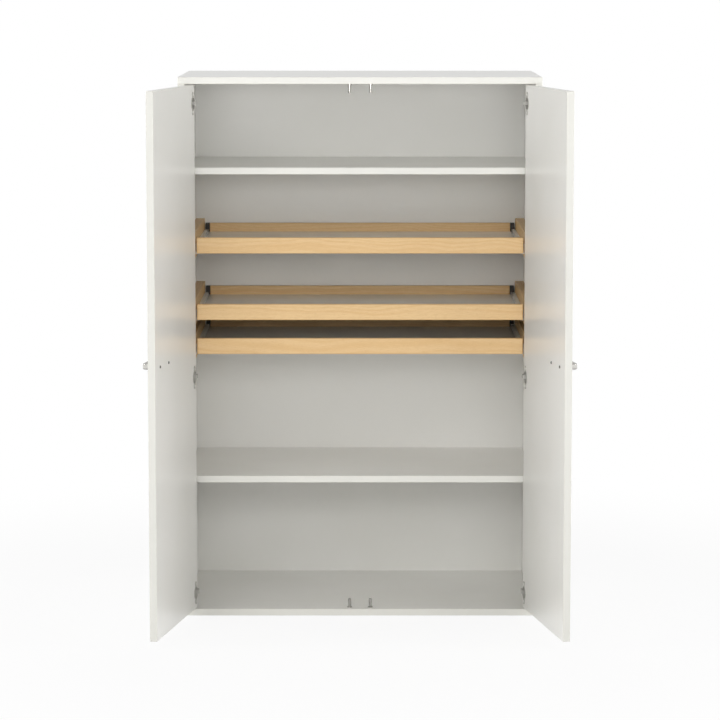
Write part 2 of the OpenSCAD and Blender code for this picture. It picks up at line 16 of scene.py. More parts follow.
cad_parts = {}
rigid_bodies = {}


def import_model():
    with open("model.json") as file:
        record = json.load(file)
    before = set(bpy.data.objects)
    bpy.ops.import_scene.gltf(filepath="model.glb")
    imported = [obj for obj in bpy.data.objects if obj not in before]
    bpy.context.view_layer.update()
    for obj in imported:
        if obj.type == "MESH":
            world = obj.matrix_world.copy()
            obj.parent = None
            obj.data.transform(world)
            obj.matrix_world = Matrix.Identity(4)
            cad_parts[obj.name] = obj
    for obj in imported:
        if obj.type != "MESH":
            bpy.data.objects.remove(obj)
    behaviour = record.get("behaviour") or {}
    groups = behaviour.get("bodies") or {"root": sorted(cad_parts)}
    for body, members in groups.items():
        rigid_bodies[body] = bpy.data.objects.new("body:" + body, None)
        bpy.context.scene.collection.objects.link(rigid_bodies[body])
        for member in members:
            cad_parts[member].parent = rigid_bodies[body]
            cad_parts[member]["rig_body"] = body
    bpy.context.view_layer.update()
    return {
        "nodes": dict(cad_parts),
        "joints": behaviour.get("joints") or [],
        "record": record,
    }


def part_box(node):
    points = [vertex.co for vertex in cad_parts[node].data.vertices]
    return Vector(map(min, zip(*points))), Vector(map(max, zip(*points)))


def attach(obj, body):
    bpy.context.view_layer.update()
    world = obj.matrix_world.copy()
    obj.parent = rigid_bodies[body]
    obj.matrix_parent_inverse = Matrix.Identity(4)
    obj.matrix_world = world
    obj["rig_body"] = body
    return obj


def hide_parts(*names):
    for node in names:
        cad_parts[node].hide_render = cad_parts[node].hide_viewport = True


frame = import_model()
nodes = frame["nodes"]
joints = {j["name"]: j for j in frame["joints"]}

# %% [markdown]
# ## Arithmetic on sockets
#
# A finish is a small calculation: a bit of noise, times a mask, plus a base value. Written as
# nodes it is long, so one class wraps a socket and lets Python's own signs add the Math nodes.
# Every other node comes from one function, which sets the node's settings before its sockets.


# %% A number that lives in a node tree
class Num:
    """What comes out of a socket. Signs between two of them, or one and a plain number, add Math nodes."""

    def __init__(self, socket):
        self.socket = socket

    def _math(self, operation, *terms):
        return add(self.socket.id_data, "ShaderNodeMath", {"operation": operation},
                   dict(enumerate(terms)))

    def __add__(self, other):
        return self._math("ADD", self, other)

    __radd__ = __add__

    def __sub__(self, other):
        return self._math("SUBTRACT", self, other)

    def __rsub__(self, other):
        return self._math("SUBTRACT", other, self)

    def __mul__(self, other):
        return self._math("MULTIPLY", self, other)

    __rmul__ = __mul__

    def __pow__(self, other):
        return self._math("POWER", self, other)

    def least(self, other):
        return self._math("MINIMUM", self, other)

    def most(self, other):
        return self._math("MAXIMUM", self, other)

    def of(self, function):
        return self._math(function, self)

    def between(self, low, high):
        """0 at low, 1 at high, held there outside."""
        return add(self.socket.id_data, "ShaderNodeMapRange", {"interpolation_type": "SMOOTHSTEP"},
                   {"Value": self, "From Min": low, "From Max": high})


def add(tree, kind, settings=None, sockets=None, out=0):
    """Adds a node, with its settings first and then the values or links of its sockets."""
    node = tree.nodes.new(kind)
    for name, value in (settings or {}).items():
        setattr(node, name, value)
    for name, value in (sockets or {}).items():
        for one in value if isinstance(value, list) else [value]:
            if isinstance(one, Num):
                tree.links.new(one.socket, node.inputs[name])
            else:
                node.inputs[name].default_value = one
    return Num(node.outputs[out])


def paint(red, green, blue):
    """A colour as a paint chart gives it, 0 to 255, turned into the linear values that a shader wants."""
    linear = [c / 12.92 if c <= 0.04045 else ((c + 0.055) / 1.055) ** 2.4
              for c in (red / 255, green / 255, blue / 255)]
    return (*linear, 1.0)


def vector(tree, operation, a, b):
    return add(tree, "ShaderNodeVectorMath", {"operation": operation}, {0: a, 1: b})


def blend(tree, share, first, second):
    """A mix of two colours."""
    return add(tree, "ShaderNodeMix", {"data_type": "RGBA"}, {0: share, 6: first, 7: second}, out=2)


def noise(tree, place, scale, detail=2.0, rough=0.5):
    return add(tree, "ShaderNodeTexNoise", {},
               {"Vector": place, "Scale": scale, "Detail": detail, "Roughness": rough})


# %% [markdown]
# ## Where a finish lies on a piece
#
# Patterns read Object coordinates, which are metres in the cabinet's own frame. The doors stand
# open at an angle, so their coordinates are first turned back to the closed door. Then one rule
# works for every board: its box is known, and how close a point is to the nearest edge gives a
# mask for the thin, rubbed lacquer or timber along the edges.


# %% Place and edge mask
RUBBED = 0.003  # width in metres of the rubbed band along an edge


def start(name):
    """A new material's tree and its Principled shader."""
    material = bpy.data.materials.new(name)
    material.use_nodes = True
    shader = next(n for n in material.node_tree.nodes if n.type == "BSDF_PRINCIPLED")
    return material, material.node_tree, shader


def closing(node_name):
    """The hinge point and the angle that turn an open door back to closed, or None."""
    body = nodes[node_name]["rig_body"]
    for j in joints.values():
        if j["child"] == body and j["type"] == "hinge":
            return Vector(j["pos_m"]), math.radians(j["range_deg"][0] * j["axis"][2])
    return None


def place_on(tree, node_name):
    """Object coordinates for a piece, turned to the closed door where it rides on one."""
    place = add(tree, "ShaderNodeTexCoord", out="Object")
    turned = closing(node_name)
    if turned:
        centre, angle = turned
        place = add(tree, "ShaderNodeVectorRotate", {"rotation_type": "Z_AXIS"},
                    {"Vector": place, "Center": centre, "Angle": angle})
    return place


def closed_box(node_name):
    """The lowest and highest coordinates of a piece, with its door closed where it rides on one."""
    points = np.array([v.co for v in nodes[node_name].data.vertices])
    turned = closing(node_name)
    if turned:
        centre, angle = np.array(turned[0]), turned[1]
        turn = np.array(Matrix.Rotation(angle, 3, "Z"))
        points = (points - centre) @ turn.T + centre
    return points.min(0), points.max(0)


def parts_of(tree, place):
    """The three numbers of a point."""
    return [add(tree, "ShaderNodeSeparateXYZ", {}, {0: place}, out=i) for i in range(3)]


def near_edge(tree, place, low, high):
    """1 on the edges of a box-shaped board, 0 further in than the rubbed band."""
    x, y, z = [(p - float(a)).least(float(b) - p) for p, a, b in zip(parts_of(tree, place), low, high)]
    second = x.least(y).most(x.most(y).least(z))
    return 1 - second.between(0.0, RUBBED)


def bump(tree, shader, height, distance, strength=1.0):
    relief = add(tree, "ShaderNodeBump", {}, {"Height": height, "Distance": distance, "Strength": strength})
    tree.links.new(relief.socket, shader.inputs["Normal"])


def feed(shader, **links):
    for name, value in links.items():
        socket = shader.inputs[name.replace("_", " ")]
        if isinstance(value, Num):
            socket.id_data.links.new(value.socket, socket)
        else:
            socket.default_value = value


# %% [markdown]
# ## White lacquer
#
# The carcase and doors are board sprayed with a semi-gloss white. Up close such a coat is never a
# flat colour: it clouds a little over a large board, its skin has a fine orange peel from the spray
# gun, and its gloss varies where hands have polished it. The narrow sides carry a band of plastic
# edging, a touch greyer and warmer than the faces, which meets them in a hairline joint. On the
# shelves and the bottom panel, which stand in shade behind the doors, this band is painted lighter,
# as painted light. The coat is rubbed thin along the corners.


# %% Lacquer
WHITE = paint(246, 245, 241)
WHITE_CLOUD = paint(242, 241, 236)
EDGING = paint(230, 229, 222)
# painted light: a lighter copy of the edging for the shelves and bottom panel, which stand in shade
EDGING_INSIDE_PAINTED_LIGHT = paint(240, 239, 232)
WORN = paint(224, 219, 207)
# Distances in metres from a narrow side: where the edging fades out, and the two sides of its joint
BAND = (0.0003, 0.0006)
JOINT_IN = (0.0007, 0.0009)
JOINT_OUT = (0.0011, 0.0013)
# Noise scales per metre: the clouds of a big board, its gloss, the wear and the spray's orange peel
CLOUDS, GLOSS, WEAR, PEEL = 2.6, 14.0, 55.0, 520.0


def edging(tree, place, low, high):
    """1 on the narrow sides of a board, and 1 on the hairline where the edging meets the face."""
    thin = min(high - low)
    reach = [(p - float(a)).least(float(b) - p)
             for p, a, b in zip(parts_of(tree, place), low, high) if b - a > thin]
    depth = reach[0].least(reach[1])
    band = 1 - depth.between(*BAND)
    joint = depth.between(*JOINT_IN) * (1 - depth.between(*JOINT_OUT))
    return band, joint


def lacquer(node_name):
    material, tree, shader = start("white_lacquer_" + node_name)
    place = place_on(tree, node_name)
    low, high = closed_box(node_name)
    cloud = noise(tree, place, CLOUDS, 3.0)
    peel = noise(tree, place, PEEL, 2.0)
    band, joint = edging(tree, place, low, high)
    rubbed = near_edge(tree, place, low, high) * noise(tree, place, WEAR, 4.0).between(0.42, 0.62)
    colour = blend(tree, cloud.between(0.35, 0.7), WHITE, WHITE_CLOUD)
    # the shelves and bottom panel get the painted lighter edging
    lightened_inside = "shelf" in node_name or node_name == "bottom_panel"
    colour = blend(tree, band, colour, EDGING_INSIDE_PAINTED_LIGHT if lightened_inside else EDGING)
    colour = blend(tree, (rubbed * 0.3 + joint * 0.35).least(1.0), colour, WORN)
    gloss = noise(tree, place, GLOSS, 3.0)
    feed(shader, Base_Color=colour, Roughness=0.3 + 0.08 * gloss + 0.12 * rubbed, Coat_Weight=0.18)
    shader.inputs["Coat Roughness"].default_value = 0.12
    bump(tree, shader, peel - joint * 2, 0.00006, 0.5)
    return material


# %% [markdown]
# ## Clear timber
#
# The tray rails are a pale, straight-grained wood under clear lacquer. Wood is rings seen side
# on: here the distance from a heart line a few centimetres away is bent by slow noise and folded
# into rings. On top lie fine fibres, drawn by noise that is stretched along the board, and the short
# dark flecks that such a wood shows. Each board gets its own offset, so that no two are the same.


# %% Timber
WOOD_LIGHT = paint(240, 205, 151)
WOOD_MID = paint(229, 188, 129)
WOOD_DARK = paint(207, 160, 100)
WOOD_FLECK = paint(174, 124, 72)
RING = 0.0075  # metres from one ring to the next
# Length along the board and width across it, in metres, of each kind of mark
BEND = (0.32, 0.16)
TONE = (0.25, 0.03)
FIBRE = (0.02, 0.0007)
PORE = (0.0035, 0.00045)


def timber(node_name, along, seed):
    """Wood whose fibres run along axis 0, 1 or 2. The seed sets which part of the tree it was cut from."""
    material, tree, shader = start("clear_timber_" + node_name)
    place = place_on(tree, node_name)
    low, high = closed_box(node_name)
    rubbed = near_edge(tree, place, low, high) * 0.3
    place = vector(tree, "SUBTRACT", place, tuple(float(a + b) / 2 for a, b in zip(low, high)))
    shifted = vector(tree, "ADD", place, (seed * 0.731, seed * 0.419, seed * 0.257))

    def stretched(length, width):
        """Coordinates squeezed so that noise comes out long in the direction of the fibres."""
        scales = tuple(1 / (length if i == along else width) for i in range(3))
        return vector(tree, "MULTIPLY", shifted, scales)

    bend = noise(tree, stretched(*BEND), 1.0, 2.0) - 0.5
    lean = 0.05 * math.sin(seed * 2.1)
    axes = parts_of(tree, place)
    across = [axes[i] for i in range(3) if i != along]
    off = (0.024 + 0.012 * math.sin(seed * 1.3), 0.02 * math.cos(seed * 1.7))
    aside = across[0] + off[0]
    above = across[1] + off[1] + axes[along] * lean + bend * 0.07
    heart = (aside ** 2.0 + above ** 2.0) ** 0.5
    rings = ((heart * (2 * math.pi / RING)).of("SINE") * 0.5 + 0.5) ** 1.6
    fibre = noise(tree, stretched(*FIBRE), 1.0, 3.0, 0.6)
    pores = noise(tree, stretched(*PORE), 1.0, 1.0).between(0.66, 0.74)
    tone = noise(tree, stretched(*TONE), 1.0, 2.0)
    colour = blend(tree, (rings * 0.55 + (tone - 0.5) * 1.1).least(1.0).most(0.0), WOOD_LIGHT, WOOD_MID)
    colour = blend(tree, fibre.between(0.35, 0.75) * 0.4, colour, WOOD_DARK)
    colour = blend(tree, pores * 0.5, colour, WOOD_FLECK)
    colour = blend(tree, rubbed, colour, WOOD_DARK)
    feed(shader, Base_Color=colour, Roughness=0.42 + 0.14 * fibre, Coat_Weight=0.12)
    shader.inputs["Coat Roughness"].default_value = 0.25
    bump(tree, shader, fibre * 0.7 + rings * 0.2 - pores * 0.8, 0.00012, 0.5)
    return material


# %% [markdown]
# ## Tray board
#
# The floor of a tray is a board faced with a warm, nearly white foil, which looks grey in the shade
# inside the cabinet. The foil has a very fine leather-like emboss and a faint speckle, and enough
# gloss to mirror the back rail and the wall when it is seen at a low angle, as it is here.


# %% Faced board
FOIL = paint(244, 242, 236)
FOIL_SPECK = paint(226, 222, 212)
SPECKLE, EMBOSS, STAINS = 900.0, 780.0, 6.0  # noise scales per metre


def faced_board(node_name):
    material, tree, shader = start("grey_foil_" + node_name)
    place = place_on(tree, node_name)
    speck = noise(tree, place, SPECKLE, 2.0).between(0.56, 0.7)
    cloud = noise(tree, place, STAINS, 3.0)
    emboss = add(tree, "ShaderNodeTexVoronoi", {"feature": "SMOOTH_F1"},
                 {"Vector": place, "Scale": EMBOSS, "Smoothness": 0.6})
    colour = blend(tree, speck * 0.4 + (cloud - 0.5) * 0.3, FOIL, FOIL_SPECK)
    feed(shader, Base_Color=colour, Roughness=0.2 + 0.1 * cloud)
    bump(tree, shader, emboss, 0.00008, 0.35)
    return material


# %% [markdown]
# ## Metal and plastic
#
# Screws are bright zinc: a light grey metal with fine lines from drawing and soft blotches from the
# plating bath. The slides have the same lines from the rolling mill on a nearly white metal: partly
# their own pale passivation, partly painted light that keeps them bright in the shaded gaps beside
# the trays. Handles, pins and studs are polished nickel, warmer and much smoother, with faint wipe
# marks; on pins and studs it is painted darker, as painted shade for the shaded places they sit in. A
# handle is painted darker along its two long edges, as a painted reflection of dark surroundings, and
# its screws are dull and dark. The pressed hinge parts have a duller nickel with hardly any shine.
# The caps of the back rails are moulded from a nearly black plastic with a spark-eroded grain.


# %% Metals and plastic
# Colours in pairs: a metal or plastic as it is, and what its blotches turn it to
ZINC = (paint(222, 221, 217), paint(203, 202, 199))
# partly painted light: the slides are made nearly white so that they stay bright in the shaded gaps beside
# the trays
PALE_ZINC_AND_PAINTED_LIGHT = (paint(248, 248, 246), paint(242, 242, 239))
PALE_ZINC_RUBBED = paint(214, 213, 208)
DARK_STEEL = (paint(128, 126, 122), paint(104, 102, 98))
HANDLE_NICKEL = (paint(222, 220, 216), paint(208, 206, 201))
# painted reflection: the dark that a polished handle mirrors along its long edges
HANDLE_EDGE_PAINTED_REFLECTION = paint(128, 126, 122)
# painted shade: the same polished nickel as the handles, darker for the shaded places where the studs and
# pins sit
STUD_NICKEL_PAINTED_SHADE = (paint(168, 166, 162), paint(154, 152, 147))
SATIN_NICKEL = (paint(192, 190, 184), paint(178, 176, 170))
PLASTIC = (paint(38, 34, 30), paint(52, 46, 40))
# Noise scales per metre of the fine lines, along the way the metal was drawn and across it
LINES_ALONG, LINES_ACROSS = 12.0, 1500.0


def zinc(node_name, along=1):
    """Screw metal, with fine lines along axis 0, 1 or 2."""
    material, tree, shader = start("bright_zinc_" + node_name)
    place = add(tree, "ShaderNodeTexCoord", out="Object")
    scales = tuple(LINES_ALONG if i == along else LINES_ACROSS for i in range(3))
    lines = noise(tree, vector(tree, "MULTIPLY", place, scales), 1.0, 2.0)
    bath = noise(tree, place, 38.0, 3.0)
    colour = blend(tree, bath.between(0.35, 0.7), *ZINC)
    feed(shader, Base_Color=colour, Metallic=0.82, Roughness=0.34 + 0.12 * bath + 0.08 * lines)
    bump(tree, shader, lines, 0.00003, 0.4)
    return material


def pale_zinc_and_painted_light(node_name):
    """The rolled slide members, pale from their passivation and made lighter still as painted light for
    their shaded gaps, rubbed greyer in fine lines.
    """
    material, tree, shader = start("pale_zinc_" + node_name)
    place = add(tree, "ShaderNodeTexCoord", out="Object")
    scales = (LINES_ACROSS, LINES_ALONG, LINES_ACROSS)
    lines = noise(tree, vector(tree, "MULTIPLY", place, scales), 1.0, 2.0)
    bath = noise(tree, place, 24.0, 3.0)
    colour = blend(tree, bath.between(0.35, 0.7), *PALE_ZINC_AND_PAINTED_LIGHT)
    colour = blend(tree, lines.between(0.55, 0.8) * 0.4, colour, PALE_ZINC_RUBBED)
    feed(shader, Base_Color=colour, Roughness=0.3 + 0.1 * bath)
    bump(tree, shader, lines, 0.00003, 0.3)
    return material


def dark_steel(node_name):
    """Handle screws: steel with a dull, dark plating."""
    material, tree, shader = start("dark_steel_" + node_name)
    place = add(tree, "ShaderNodeTexCoord", out="Object")
    bath = noise(tree, place, 150.0, 3.0)
    colour = blend(tree, bath.between(0.35, 0.7), *DARK_STEEL)
    feed(shader, Base_Color=colour, Metallic=0.8, Roughness=0.36 + 0.15 * bath)
    bump(tree, shader, bath, 0.00003, 0.3)
    return material


def nickel(node_name):
    material, tree, shader = start("polished_nickel_" + node_name)
    place = add(tree, "ShaderNodeTexCoord", out="Object")
    wiped = noise(tree, vector(tree, "MULTIPLY", place, (60.0, 60.0, 420.0)), 1.0, 3.0)
    pair = HANDLE_NICKEL if "handle" in node_name else STUD_NICKEL_PAINTED_SHADE
    colour = blend(tree, noise(tree, place, 90.0, 2.0).between(0.3, 0.7), *pair)
    if "handle" in node_name:
        low, high = closed_box(node_name)
        height = parts_of(tree, place)[2]
        from_edge = (height - float(low[2])).least(float(high[2]) - height)
        # paints that dark reflection along the handle's two long edges
        colour = blend(tree, (1 - from_edge.between(0.001, 0.0045)) * 0.85, colour, HANDLE_EDGE_PAINTED_REFLECTION)
    feed(shader, Base_Color=colour, Metallic=1.0, Roughness=0.1 + 0.12 * wiped.between(0.4, 0.8))
    bump(tree, shader, wiped, 0.00002, 0.3)
    return material


def satin_nickel(node_name):
    """Pressed hinge parts: a dull, pale plating with a fine grain."""
    material, tree, shader = start("satin_nickel_" + node_name)
    place = add(tree, "ShaderNodeTexCoord", out="Object")
    bath = noise(tree, place, 60.0, 3.0)
    grain = noise(tree, place, 1400.0, 2.0)
    colour = blend(tree, bath.between(0.35, 0.7), *SATIN_NICKEL)
    feed(shader, Base_Color=colour, Metallic=0.15, Roughness=0.42 + 0.15 * bath)
    bump(tree, shader, grain, 0.00003, 0.35)
    return material


def cap_plastic(node_name):
    material, tree, shader = start("black_plastic_" + node_name)
    place = add(tree, "ShaderNodeTexCoord", out="Object")
    spark = noise(tree, place, 1600.0, 2.0)
    colour = blend(tree, noise(tree, place, 120.0, 2.0), *PLASTIC)
    feed(shader, Base_Color=colour, Roughness=0.45 + 0.15 * spark)
    bump(tree, shader, spark, 0.00008, 0.5)
    return material


# %% [markdown]
# ## Finish every solid
#
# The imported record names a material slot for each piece, and the slot gives the finish. The name
# settles what the slot leaves open: slides or screws, hinges or handles, and the run of the
# fibres. Rails lie across the cabinet, the strips that carry the slides run from front to rear.


# %% Dress the solids
slot_of = {s["node"]: s["material_slot"] for s in frame["record"]["subparts"]}
FIBRES_ALONG = {"front": 0, "back": 0, "spacers": 1, "dowels": 2}

for seed, name in enumerate(sorted(nodes)):
    kind = slot_of[name]
    if kind == "lacquer":
        finish = lacquer(name)
    elif kind == "timber":
        finish = timber(name, FIBRES_ALONG[name.split("_")[-1]], seed + 1)
    elif kind == "tray_board":
        finish = faced_board(name)
    elif kind == "zinc":
        finish = pale_zinc_and_painted_light(name) if "slide" in name or "runner" in name else zinc(name)
    elif kind == "nickel":
        finish = satin_nickel(name) if "hinge" in name else nickel(name)
    else:
        finish = cap_plastic(name)
    mesh = nodes[name].data
    mesh.materials.clear()
    mesh.materials.append(finish)
print("finishes:", len(bpy.data.materials))

# %% [markdown]
# ## Read the screws off the solids
#
# The solid screws are plain: a disc or dome on a shank. To replace them with slotted ones, each
# is measured. A node's mesh is loose triangles, so equal points are merged and triangles that share
# a point are gathered into one screw. Its axis is the main direction in which it is long and its two
# ends lie in line. The end with the wider ring is the head.


# %% Measure each screw
END = 1e-5  # points this near to a screw's end, in metres, lie on its end face
CLEAR = 1e-4  # metres below the seat of the head, where only the shank is left
RIM = 0.98  # points further out than this share of the largest radius are on the head's rim


def solids_in(node_name):
    """The points of each separate solid in a node."""
    mesh = nodes[node_name].data
    points = np.array([v.co for v in mesh.vertices])
    _, first, same = np.unique(np.round(points, 6), axis=0, return_index=True, return_inverse=True)
    same = same.ravel()
    parent = list(range(len(first)))

    def root(i):
        while parent[i] != i:
            parent[i] = parent[parent[i]]
            i = parent[i]
        return i

    for face in mesh.polygons:
        corners = [root(same[v]) for v in face.vertices]
        for c in corners[1:]:
            parent[root(c)] = root(corners[0])
    groups = {}
    for i, f in enumerate(first):
        groups.setdefault(root(i), []).append(points[f])
    return [np.array(g) for g in groups.values()]


def screw_sizes(points):
    """Seat of the head, direction out of the head, head radius and height, shank radius and length."""
    _, _, axes = np.linalg.svd(points - points.mean(0), full_matrices=False)
    best = None
    for axis in axes:
        along = points @ axis
        centre = points[along > along.max() - END].mean(0)
        far = points[along < along.min() + END].mean(0)
        score = np.linalg.norm(np.cross(centre - far, axis)) - np.ptp(along)
        if best is None or score < best[0]:
            best = (score, axis, centre)
    _, axis, centre = best
    along = (points - centre) @ axis
    around = np.linalg.norm(np.cross(points - centre, axis), axis=1)
    wide = along[around > around.max() * RIM]
    if wide.mean() < (along.max() + along.min()) / 2:
        axis, along = -axis, -along
        wide = -wide
    seat = wide.min()
    shank = around[along < seat - CLEAR].max()
    return {"seat": centre + axis * seat, "axis": axis,
            "head": around.max(), "rise": along.max() - seat, "shank": shank, "length": seat - along.min()}


screw_nodes = sorted(n for n in nodes if n.endswith("_screws"))
measured = {n: [screw_sizes(p) for p in solids_in(n)] for n in screw_nodes}
for n in screw_nodes:
    s = measured[n][0]
    print(n, len(measured[n]), "head %.1f x %.1f, shank %.1f x %.1f mm" % tuple(
        1000 * s[k] for k in ("head", "rise", "shank", "length")))

# %% [markdown]
# ## Slotted screws by Geometry Nodes
#
# A turned head could be modelled by hand once and copied, but a rule is shorter and can be
# changed later. A grid is rolled up: one direction becomes the angle, the other runs from the
# middle of the seat out to the rim and up over the dome. Two bars cut the cross, a cylinder is
# the shank, and the result is set on every measured point, turned to its axis and then by a
# random angle with a fixed seed, since no two screws stop at the same turn.


# %% The screw tree
SEAT_SHARE = 1 / 6  # this part of the grid's rows becomes the flat seat, the rest the dome
DOME_POWER = 0.45  # below 1, it gives the dome a full shoulder
SLOT_LONG, SLOT_WIDE = 1.15, 0.26  # shares of the head radius
SLOT_MIDDLE = 0.95  # height of a cutting bar's middle, as a share of the head height
SINK = 0.0001  # metres that the shank reaches into the head
SHARP = 0.7  # radians of an edge that stays sharp
LARGEST_TURN = 1.57  # a quarter turn, after which a cross looks the same


def new_tree(name, sizes):
    """A node tree with named number inputs. Returns it, its inputs and each input's identifier."""
    tree = bpy.data.node_groups.new(name, "GeometryNodeTree")
    ids = {}
    tree.interface.new_socket("Geometry", in_out="INPUT", socket_type="NodeSocketGeometry")
    for label, value in sizes.items():
        socket = tree.interface.new_socket(label, in_out="INPUT", socket_type="NodeSocketFloat")
        socket.default_value = value
        ids[label] = socket.identifier
    socket = tree.interface.new_socket("Material", in_out="INPUT", socket_type="NodeSocketMaterial")
    ids["Material"] = socket.identifier
    tree.interface.new_socket("Geometry", in_out="OUTPUT", socket_type="NodeSocketGeometry")
    entry = tree.nodes.new("NodeGroupInput")
    return tree, {s.name: Num(s) for s in entry.outputs if s.name}, ids


def close_tree(tree, geometry, material):
    """Real meshes with a material: the last two nodes of every tree here."""
    real = add(tree, "GeometryNodeRealizeInstances", {}, {"Geometry": geometry})
    made = add(tree, "GeometryNodeSetMaterial", {}, {"Geometry": real, "Material": material})
    leave = tree.nodes.new("NodeGroupOutput")
    tree.links.new(made.socket, leave.inputs[0])


def xyz(tree, x=0.0, y=0.0, z=0.0):
    return add(tree, "ShaderNodeCombineXYZ", {}, {0: x, 1: y, 2: z})


def screw_tree():
    tree, given, ids = new_tree("slotted_screws", {
        "Head radius": 0.0036, "Head height": 0.0018, "Shank radius": 0.0017, "Shank length": 0.012})
    radius, rise = given["Head radius"], given["Head height"]
    sheet = add(tree, "GeometryNodeMeshGrid", {},
                {"Size X": 1.0, "Size Y": 1.0, "Vertices X": 33, "Vertices Y": 13})
    u, v, _ = parts_of(tree, add(tree, "GeometryNodeInputPosition"))
    angle = (u + 0.5) * (2 * math.pi)
    rim = -0.5 + SEAT_SHARE
    out = add(tree, "ShaderNodeMapRange", {}, {"Value": v, "From Min": -0.5, "From Max": rim})
    up = add(tree, "ShaderNodeMapRange", {}, {"Value": v, "From Min": rim, "From Max": 0.5})
    up = up * (math.pi / 2)
    reach = radius * out * (up.of("COSINE").most(0.0) ** DOME_POWER)
    rolled = add(tree, "GeometryNodeSetPosition", {}, {
        "Geometry": sheet,
        "Position": xyz(tree, reach * angle.of("COSINE"), reach * angle.of("SINE"), rise * up.of("SINE"))})
    closed = add(tree, "GeometryNodeMergeByDistance", {}, {"Geometry": rolled, "Distance": 1e-6})
    bars = []
    for long, wide in ((SLOT_LONG, SLOT_WIDE), (SLOT_WIDE, SLOT_LONG)):
        bar = add(tree, "GeometryNodeMeshCube", {}, {"Size": xyz(tree, radius * long, radius * wide, rise)})
        bars.append(add(tree, "GeometryNodeTransform", {}, {
            "Geometry": bar, "Translation": xyz(tree, 0.0, 0.0, rise * SLOT_MIDDLE)}))
    head = add(tree, "GeometryNodeMeshBoolean", {"operation": "DIFFERENCE", "solver": "EXACT"},
               {"Mesh 1": closed, "Mesh 2": bars})
    shank = add(tree, "GeometryNodeMeshCylinder", {}, {
        "Vertices": 20, "Radius": given["Shank radius"], "Depth": given["Shank length"]})
    shank = add(tree, "GeometryNodeTransform", {}, {
        "Geometry": shank, "Translation": xyz(tree, 0.0, 0.0, given["Shank length"] * -0.5 + SINK)})
    screw = add(tree, "GeometryNodeJoinGeometry", {}, {"Geometry": [head, shank]})
    soft = add(tree, "GeometryNodeSetShadeSmooth", {"domain": "FACE"},
               {"Geometry": screw, "Shade Smooth": True})
    crease = add(tree, "GeometryNodeInputMeshEdgeAngle")
    sharp = add(tree, "FunctionNodeCompare", {"data_type": "FLOAT", "operation": "GREATER_THAN"},
                {0: crease, 1: SHARP})
    soft = add(tree, "GeometryNodeSetShadeSmooth", {"domain": "EDGE"},
               {"Geometry": soft, "Selection": sharp, "Shade Smooth": False})
    direction = add(tree, "GeometryNodeInputNamedAttribute", {"data_type": "FLOAT_VECTOR"},
                    {"Name": "axis"})
    upright = add(tree, "FunctionNodeAlignRotationToVector", {"axis": "Z"}, {"Vector": direction})
    chance = add(tree, "FunctionNodeRandomValue", {"data_type": "FLOAT"},
                 {2: 0.0, 3: LARGEST_TURN, "Seed": 7}, out=1)
    spin = add(tree, "FunctionNodeAxisAngleToRotation", {}, {"Axis": (0.0, 0.0, 1.0), "Angle": chance})
    turned = add(tree, "FunctionNodeRotateRotation", {"rotation_space": "LOCAL"}, {0: upright, 1: spin})
    placed = add(tree, "GeometryNodeInstanceOnPoints", {}, {
        "Points": given["Geometry"], "Instance": soft, "Rotation": turned})
    close_tree(tree, placed, given["Material"])
    return tree, ids


screws, screw_ids = screw_tree()
print("screw tree:", len(screws.nodes), "nodes")

# %% [markdown]
# ## Set the screws
#
# The tree runs as a modifier on a mesh that is only points. Its result is read back as a plain
# mesh and the modifier is gone, so that nothing is left to evaluate when the cabinet is posed.
# The screws of one node that have the same size make one piece, and it stands for the plain solids.


# %% Make the screws
def points_with_axes(name, places, axes):
    mesh = bpy.data.meshes.new(name)
    mesh.from_pydata([tuple(p) for p in places], [], [])
    attribute = mesh.attributes.new("axis", "FLOAT_VECTOR", "POINT")
    attribute.data.foreach_set("vector", np.array(axes, np.float32).ravel())
    piece = bpy.data.objects.new(name, mesh)
    bpy.context.scene.collection.objects.link(piece)
    return piece


def grown(piece, tree, inputs):
    """Runs a tree on a piece once and keeps the result as its plain mesh."""
    modifier = piece.modifiers.new(tree.name, "NODES")
    modifier.node_group = tree
    for identifier, value in inputs.items():
        modifier[identifier] = value
    graph = bpy.context.evaluated_depsgraph_get()
    made = bpy.data.meshes.new_from_object(piece.evaluated_get(graph))
    piece.modifiers.remove(modifier)
    made.name = piece.name
    piece.data = made
    return piece


def set_screws(name, sizes, body, finish):
    """One piece of equal screws, given as a list of measured ones."""
    one = sizes[0]
    piece = points_with_axes(name, [s["seat"] for s in sizes], [s["axis"] for s in sizes])
    grown(piece, screws, {
        screw_ids["Head radius"]: float(one["head"]), screw_ids["Head height"]: float(one["rise"]),
        screw_ids["Shank radius"]: float(one["shank"]), screw_ids["Shank length"]: float(one["length"]),
        screw_ids["Material"]: finish})
    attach(piece, body)
    return piece


for n in screw_nodes:
    finish = dark_steel(n) if "handle" in n else zinc(n + "_heads", along=2)
    sorts = {}
    for s in measured[n]:
        sorts.setdefault((round(s["head"], 4), round(s["length"], 4)), []).append(s)
    for i, same in enumerate(sorts.values()):
        piece = set_screws("%s_slotted_%d" % (n, i), same, nodes[n]["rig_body"], finish)
        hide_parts(n)
        print(piece.name, len(same), "screws,", len(piece.data.polygons), "faces")
    slotted = [o for o in bpy.data.objects if o.name.startswith(n + "_slotted")]
    made = np.array([v.co for o in slotted for v in o.data.vertices])
    low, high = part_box(n)
    off = max(abs(made.min(0) - low).max(), abs(made.max(0) - high).max())
    print("  off the solids' box by %.2f mm" % (1000 * off))

# %% [markdown]
# ## Adjusting screws of the hinges
#
# A concealed hinge is set by small screws in the top of its arm. They are flat, slotted and
# larger in the head than in the shank, so the same tree makes them with other sizes. They sit on
# the arm in front of and behind the screw that clamps it.


